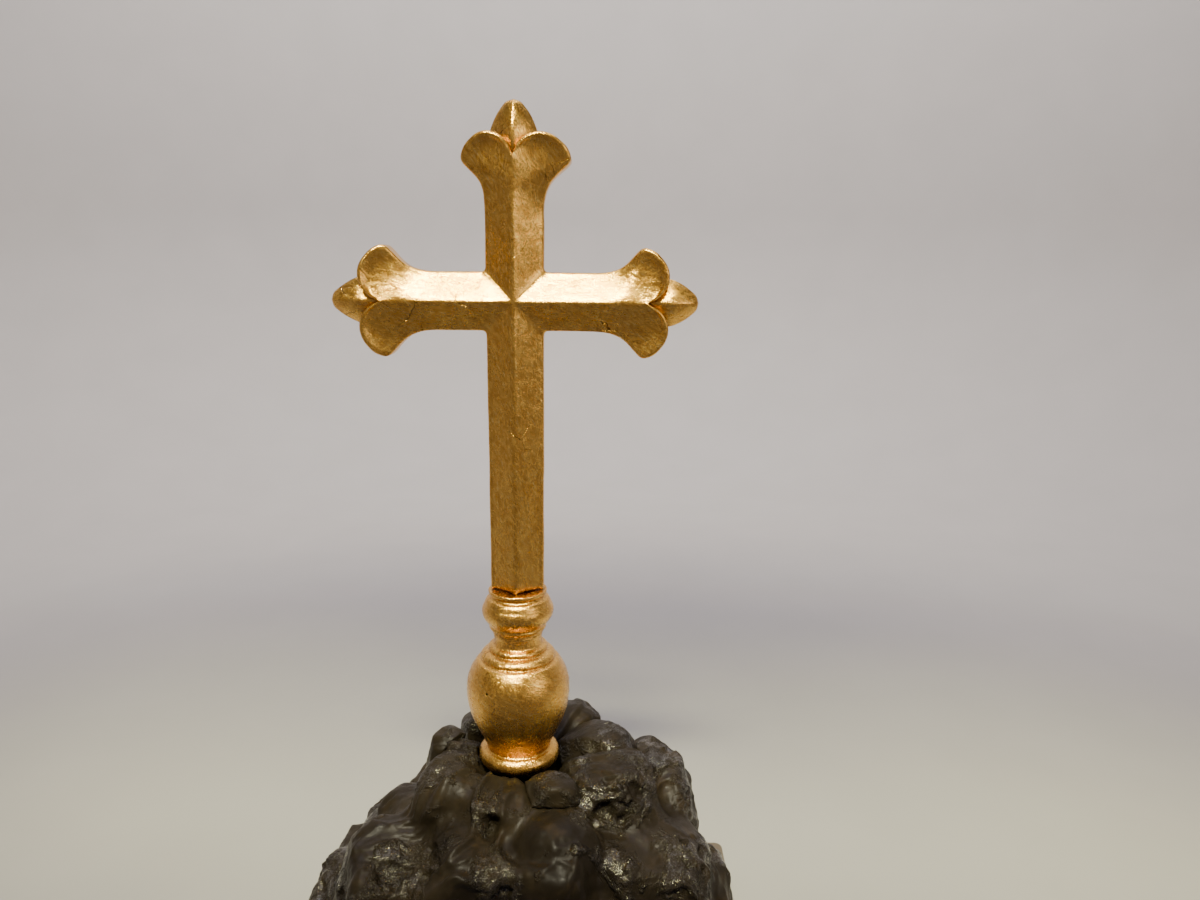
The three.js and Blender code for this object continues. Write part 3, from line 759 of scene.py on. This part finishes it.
class Nodes:
    """Short ways to add and join the nodes of one material."""

    def __init__(self, name):
        self.material = bpy.data.materials.new(name)
        self.material.use_nodes = True
        self.tree = self.material.node_tree
        self.shader = self.tree.nodes["Principled BSDF"]

    def add(self, kind, inputs=None, **settings):
        node = self.tree.nodes.new(f"ShaderNode{kind}")
        for key, value in settings.items():
            setattr(node, key, value)
        for key, value in (inputs or {}).items():
            self.put(node.inputs[key], value)
        return node

    def put(self, socket, value):
        if isinstance(value, bpy.types.NodeSocket):
            self.tree.links.new(value, socket)
        else:
            socket.default_value = value

    def noise(self, vector, scale, detail=4.0, roughness=0.55, distortion=0.0):
        inputs = {"Vector": vector, "Scale": scale, "Detail": detail}
        inputs.update({"Roughness": roughness, "Distortion": distortion})
        return self.add("TexNoise", inputs).outputs["Fac"]

    def noise_vector(self, vector, scale):
        return self.add("TexNoise", {"Vector": vector, "Scale": scale, "Detail": 3.0}).outputs["Color"]

    def stretched(self, vector, scale):
        return self.add("VectorMath", {0: vector, 1: scale}, operation="MULTIPLY").outputs["Vector"]

    def math(self, operation, a, b=0.0):
        return self.add("Math", {0: a, 1: b}, operation=operation).outputs["Value"]

    def spread(self, value, low, high, to_low=0.0, to_high=1.0):
        inputs = {"Value": value, "From Min": low, "From Max": high, "To Min": to_low, "To Max": to_high}
        return self.add("MapRange", inputs, interpolation_type="SMOOTHSTEP").outputs["Result"]

    def mix(self, share, a, b):
        """The numbers are the places of the colour sockets, which share their names with others."""
        return self.add("Mix", {0: share, 6: a, 7: b}, data_type="RGBA").outputs[2]

    def bump(self, height, distance, strength=1.0, normal=None):
        inputs = {"Height": height, "Distance": distance, "Strength": strength}
        if normal is not None:
            inputs["Normal"] = normal
        return self.add("Bump", inputs).outputs["Normal"]

    def set(self, **sockets):
        for key, value in sockets.items():
            self.put(self.shader.inputs[key.replace("_", " ")], value)


WORM_HOLE = Vector((-17.4, -27.8, 60.5)) * MM + Vector((0, 0, FOOT_Z))  # in the left front of the vase
WORM_HOLE_RADII = (0.6 * MM, 1.1 * MM)
# How far the painted shade in crevices reaches.
CREVICE_SHADE_REACH = 10 * MM


def gold_leaf():
    """Burnished leaf over red bole, with brush scratches, brown patina, cracks, a worm hole painted dark as
    shade, and crevices darkened by grime and painted shade.
    """
    n = Nodes("gold_leaf")
    grain = n.add("Attribute", attribute_name="grain").outputs["Vector"]
    place = n.add("TexCoord").outputs["Object"]
    slanted = n.add("VectorRotate", {"Vector": grain, "Angle": 0.6}, rotation_type="Y_AXIS")
    slanted = slanted.outputs["Vector"]
    strokes = n.noise(n.stretched(grain, (1.0, 1.0, 0.16)), 620.0, 4.0, 0.62, 0.9)
    scratches = n.noise(n.stretched(slanted, (1.0, 1.0, 0.10)), 900.0, 3.0, 0.60, 0.5)
    crumple = n.noise(place, 420.0, 6.0, 0.72, 0.8)
    wrinkles = n.noise(n.stretched(slanted, (1.0, 1.0, 0.45)), 170.0, 5.0, 0.66, 2.4)
    patina = n.noise(place, 26.0, 8.0, 0.70, 0.8)
    specks = n.spread(n.noise(place, 640.0, 3.0, 0.6), 0.70, 0.78)
    worn = n.spread(patina, 0.44, 0.70)
    scored = n.spread(scratches, 0.56, 0.68)
    dull = n.math("MULTIPLY", worn, n.spread(strokes, 0.35, 0.62, 0.45, 1.0))
    bright = n.mix(n.spread(wrinkles, 0.35, 0.66), (0.74, 0.385, 0.078, 1), (0.97, 0.575, 0.135, 1))
    aged = n.mix(n.math("MULTIPLY", dull, 0.38), bright, (0.48, 0.215, 0.042, 1))
    rubbed = n.mix(n.math("MULTIPLY", scored, 0.55), aged, (0.99, 0.72, 0.26, 1))
    spotted = n.mix(n.math("MULTIPLY", specks, 0.12), rubbed, (0.20, 0.080, 0.020, 1))
    waves = n.stretched(n.noise_vector(place, 60.0), (0.012, 0.012, 0.012))
    wavy = n.add("VectorMath", {0: place, 1: waves}, operation="ADD").outputs["Vector"]
    cells = n.add("TexVoronoi", {"Vector": wavy, "Scale": 42.0}, feature="DISTANCE_TO_EDGE")
    lines = n.spread(cells.outputs["Distance"], 0.004, 0.012, 1.0, 0.0)
    cracks = n.math("MULTIPLY", lines, n.spread(n.noise(place, 32.0, 3.0, 0.5), 0.58, 0.66))
    # Cracks and the worm hole are painted near black: dark lines in the cracks, and painted shade inside
    # the hole.
    away = n.add("VectorMath", {0: place, 1: WORM_HOLE}, operation="DISTANCE").outputs["Value"]
    hole = n.spread(away, *WORM_HOLE_RADII, 1.0, 0.0)
    cracks_and_hole_shade = n.math("MAXIMUM", n.math("MULTIPLY", cracks, 0.7), hole)
    # Ambient occlusion darkens the crevices towards red-brown: painted shade, partly grime and bole.
    open_sky = n.add("AmbientOcclusion", {"Distance": CREVICE_SHADE_REACH}, samples=8).outputs["AO"]
    crevice_shade = n.spread(open_sky, 0.20, 0.92, 0.52, 0.0)
    grime_and_shade = n.mix(crevice_shade, spotted, (0.13, 0.045, 0.016, 1))
    n.set(Base_Color=n.mix(cracks_and_hole_shade, grime_and_shade, (0.035, 0.014, 0.006, 1)), Metallic=1.0)
    brushed = n.spread(strokes, 0.3, 0.7, 0.0, 0.07)
    rough = n.math("ADD", brushed, n.spread(crumple, 0.3, 0.7, 0.14, 0.26))
    n.set(Roughness=n.math("ADD", rough, n.math("MULTIPLY", dull, 0.12)))
    relief = n.bump(wrinkles, 0.8 * MM, 0.36)
    relief = n.bump(crumple, 0.26 * MM, 0.40, relief)
    relief = n.bump(n.math("ADD", strokes, scratches), 0.16 * MM, 0.36, relief)
    sunk = n.math("MULTIPLY", n.math("MAXIMUM", cracks, hole), -1.0)
    n.set(Normal=n.bump(sunk, 0.5 * MM, 1.0, relief))
    return n.material


def painted_rock():
    """Dark paint over glue-soaked lumps: dull on the smooth swells, wet-looking where it broke up."""
    n = Nodes("painted_rock")
    place = n.add("TexCoord").outputs["Object"]
    cloudy = n.noise(place, 24.0, 5.0, 0.6, 0.6)
    brown = n.noise(place, 60.0, 6.0, 0.66)
    crumple = n.noise(place, 140.0, 5.0, 0.60, 0.25)
    grit = n.noise(place, 620.0, 4.0, 0.6)
    folds = n.noise(n.stretched(place, (1.0, 1.0, 0.6)), 48.0, 2.0, 0.4, 0.6)
    crumpled = n.add("Attribute", attribute_name="crumpled").outputs["Fac"]
    blotch = n.math("ADD", n.noise(place, 34.0, 6.0, 0.66, 0.4), n.math("MULTIPLY", crumpled, 0.16))
    patches = n.spread(blotch, 0.52, 0.64)
    dark, light = (0.0092, 0.0069, 0.0053, 1), (0.0175, 0.0132, 0.0098, 1)
    base = n.mix(n.spread(cloudy, 0.35, 0.65), dark, light)
    n.set(Base_Color=n.mix(n.spread(brown, 0.52, 0.72, 0.0, 0.5), base, (0.030, 0.020, 0.012, 1)))
    gloss = n.math("MULTIPLY", patches, -0.12)
    n.set(Roughness=n.math("ADD", n.spread(grit, 0.3, 0.7, 0.34, 0.48), gloss))
    n.set(Specular_IOR_Level=0.13, Specular_Tint=(0.62, 0.63, 1.0, 1))
    wet = n.math("MULTIPLY", patches, n.spread(crumple, 0.42, 0.60, 0.15, 0.9))
    n.set(Coat_Weight=wet, Coat_Roughness=0.06)
    relief = n.bump(folds, 2.0 * MM, 0.45)
    relief = n.bump(brown, 0.9 * MM, 0.5, relief)
    relief = n.bump(n.math("MULTIPLY", crumple, patches), 2.6 * MM, 0.9, relief)
    ripples = n.spread(n.noise(place, 330.0, 3.0, 0.5, 0.3), 0.35, 0.65)
    relief = n.bump(n.math("MULTIPLY", ripples, patches), 0.5 * MM, 0.22, relief)
    relief = n.bump(grit, 0.10 * MM, 0.18, relief)
    n.set(Normal=relief, Coat_Normal=relief)
    return n.material


def painted_board():
    """Dark brown paint with wood fibres showing through and scuffs."""
    n = Nodes("painted_board")
    place = n.add("TexCoord").outputs["Object"]
    fibres = n.noise(n.stretched(place, (0.12, 1.0, 1.0)), 420.0, 4.0, 0.6)
    uneven = n.noise(place, 22.0, 5.0, 0.6)
    scuffs = n.spread(n.noise(place, 95.0, 7.0, 0.7), 0.58, 0.72)
    base = n.mix(uneven, (0.058, 0.043, 0.038, 1), (0.088, 0.067, 0.060, 1))
    n.set(Base_Color=n.mix(n.math("MULTIPLY", scuffs, 0.5), base, (0.14, 0.10, 0.08, 1)))
    n.set(Roughness=n.spread(uneven, 0.3, 0.7, 0.34, 0.52))
    n.set(Normal=n.bump(fibres, 0.12 * MM, 0.6))
    return n.material


def felt():
    """Green felt."""
    n = Nodes("felt")
    place = n.add("TexCoord").outputs["Object"]
    fuzz = n.noise(place, 1500.0, 5.0, 0.7)
    mottle = n.noise(place, 130.0, 4.0, 0.6)
    n.set(Base_Color=n.mix(mottle, (0.020, 0.045, 0.026, 1), (0.040, 0.078, 0.045, 1)))
    n.set(Roughness=n.spread(fuzz, 0.2, 0.8, 0.85, 1.0), Sheen_Weight=0.35)
    n.set(Normal=n.bump(fuzz, 0.5 * MM, 0.8))
    return n.material


def bare_wood():
    """Unfinished softwood, for the pieces that nobody sees."""
    n = Nodes("bare_wood")
    place = n.add("TexCoord").outputs["Object"]
    rings = n.noise(n.stretched(place, (0.09, 1.0, 1.0)), 260.0, 5.0, 0.6, 0.7)
    pores = n.noise(n.stretched(place, (0.05, 1.0, 1.0)), 1400.0, 3.0, 0.6)
    tone = n.mix(n.spread(rings, 0.35, 0.65), (0.44, 0.27, 0.13, 1), (0.62, 0.43, 0.24, 1))
    n.set(Base_Color=n.mix(n.spread(pores, 0.6, 0.75, 0.0, 0.6), tone, (0.24, 0.13, 0.06, 1)))
    n.set(Roughness=n.spread(pores, 0.3, 0.7, 0.6, 0.8))
    n.set(Normal=n.bump(pores, 0.15 * MM, 0.6))
    return n.material


def drawn_steel():
    """Bright steel bar with draw marks along it."""
    n = Nodes("drawn_steel")
    place = n.add("TexCoord").outputs["Object"]
    lines = n.noise(n.stretched(place, (1.0, 1.0, 0.03)), 2200.0, 3.0, 0.5)
    stain = n.noise(place, 120.0, 5.0, 0.6)
    n.set(Base_Color=n.mix(n.spread(stain, 0.4, 0.7), (0.56, 0.55, 0.54, 1), (0.34, 0.32, 0.30, 1)))
    n.set(Roughness=n.spread(lines, 0.3, 0.7, 0.24, 0.42), Metallic=1.0)
    n.set(Normal=n.bump(lines, 0.03 * MM, 0.5))
    return n.material


def studio_paint():
    """Matt paint, darker and slightly blue on the floor round the middle: painted shade and colour that
    even out the light of the lamps.
    """
    n = Nodes("studio_paint")
    place = n.add("TexCoord").outputs["Object"]
    mottle = n.noise(place, 9.0, 4.0, 0.5)
    reach = n.add("VectorMath", {0: place}, operation="LENGTH").outputs["Value"]
    # The floor near the middle is painted darker, as painted shade against the lamps' pool of light there.
    shade = n.spread(reach, 0.25, 1.2)
    wall = n.mix(mottle, (0.56, 0.53, 0.515, 1), (0.62, 0.585, 0.57, 1))
    floor = n.mix(mottle, (0.249, 0.242, 0.288, 1), (0.276, 0.268, 0.319, 1))
    n.set(Base_Color=n.mix(shade, floor, wall), Roughness=0.9)
    return n.material


def dress_cad_nodes():
    """The CAD nodes that stay are the hidden wood and steel and the seat that the ring stands on."""
    looks = {"bare_wood": bare_wood(), "steel": drawn_steel(), "painted_rock": ROCK}
    for part in frame["record"]["subparts"]:
        node = frame["nodes"][part["node"]]
        if part["material_slot"] in looks:
            node.data.materials.clear()
            node.data.materials.append(looks[part["material_slot"]])


# ---- Studio ----

FLOOR_HOLE = 0.02
FLOOR_RADIUS = 1.3
SWEEP_RADIUS = 0.6
WALL_HEIGHT = 3.0
BACKDROP_SIDES = 96
SWEEP_STEPS = 12


def backdrop():
    """A pale round floor that sweeps up into a wall on every side, open at the top."""
    profile = [(FLOOR_HOLE, 0.0), (FLOOR_RADIUS / 2, 0.0)]
    for angle in np.radians(np.linspace(0, 90, SWEEP_STEPS + 1)):
        rise = SWEEP_RADIUS * (1 - math.cos(angle))
        profile.append((FLOOR_RADIUS + SWEEP_RADIUS * math.sin(angle), rise))
    profile.append((FLOOR_RADIUS + SWEEP_RADIUS, WALL_HEIGHT))
    turn = np.linspace(0, 2 * math.pi, BACKDROP_SIDES + 1)
    grid = np.array([[(r * math.cos(a), r * math.sin(a), z) for a in turn] for r, z in profile])
    mesh = bpy.data.meshes.new("backdrop")
    rows, columns = grid.shape[:2]
    mesh.from_pydata(grid.reshape(-1, 3).tolist(), [], grid_faces(rows, columns))
    smooth_shaded(mesh)
    mesh.materials.append(studio_paint())
    new_object("backdrop", mesh)


def area_light(name, place, aim, size, power, color, spread):
    light = bpy.data.lights.new(name, "AREA")
    light.shape = "RECTANGLE"
    light.size, light.size_y = size
    light.energy = power
    light.color = color
    light.spread = math.radians(spread)
    lamp = new_object(name, light)
    lamp.location = place
    lamp.rotation_euler = (Vector(aim) - Vector(place)).to_track_quat("-Z", "Y").to_euler()


CROSSING = Vector((0, 0, CROSSING_Z))
TUBE_COLOR = (1.0, 0.95, 0.46)
FILL_COLOR = (1.0, 0.91, 0.74)
WASH_COLOR = (1.0, 0.97, 0.94)
# Lamps: place, aim, size, power, colour and spread in degrees.
LAMPS = {
    "tube": (
        CROSSING + Vector((0, -0.62, 0.86)), CROSSING + Vector((0.05, 0, -0.21)),
        (1.1, 0.06), 3.8, TUBE_COLOR, 28,
    ),
    "right_fill": (CROSSING + Vector((1.3, -1.0, 0.5)), CROSSING, (0.7, 0.9), 0.38, FILL_COLOR, 36),
    "wall_wash": ((0, 0.6, 2.6), (0, 1.9, 0.4), (2.4, 0.4), 45.0, WASH_COLOR, 125),
    "room_wash": ((0, -0.4, 2.7), (0, -1.9, 0.7), (2.4, 0.4), 4.0, WASH_COLOR, 120),
}
WORLD_COLOR = (0.80, 0.77, 0.74, 1)
WORLD_STRENGTH = 0.04


def studio():
    """A tube above the object, a soft fill from the right, and washes for the wall and the room."""
    for name, settings in LAMPS.items():
        area_light(name, *settings)
    world = bpy.data.worlds.new("studio")
    world.use_nodes = True
    background = world.node_tree.nodes["Background"]
    background.inputs["Color"].default_value = WORLD_COLOR
    background.inputs["Strength"].default_value = WORLD_STRENGTH
    bpy.context.scene.world = world


# ---- Camera: a phone's main lens held just above the crossing, tilted down ----

CAMERA_PLACE = Vector((52, -552, 329.5)) * MM + Vector((0, 0, FOOT_Z))
CAMERA_TILT = math.radians(12)
CAMERA_ROLL = math.radians(0.62)
SENSOR_WIDTH = 36.0
LENS = 27.18


def camera():
    data = bpy.data.cameras.new("camera")
    data.sensor_width = SENSOR_WIDTH
    data.lens = LENS
    data.clip_start = 0.01
    eye = new_object("camera", data)
    level = Euler((math.pi / 2 - CAMERA_TILT, 0, 0)).to_matrix().to_4x4()
    roll = Matrix.Rotation(CAMERA_ROLL, 4, "Z")
    eye.matrix_world = Matrix.Translation(CAMERA_PLACE) @ level @ roll
    bpy.context.scene.camera = eye


# ---- Make everything ----

GOLD = gold_leaf()
ROCK = painted_rock()

camera()
backdrop()
studio()
gilded_cross()
bud("bud_top", 0, TOP_BUD_TIP)
bud("bud_right", math.pi / 2, SIDE_BUD_TIP)
bud("bud_left", -math.pi / 2, SIDE_BUD_TIP)
turned("foot_ring", FOOT_RING, 31)
turned("vase", VASE, 32)
turned("collar", COLLAR, 33)
rock_mound()
eased("board", "plinth_board", 1.6 * MM, painted_board())
eased("felt_sheet", "base_felt", 0.5 * MM, felt())
dress_cad_nodes()
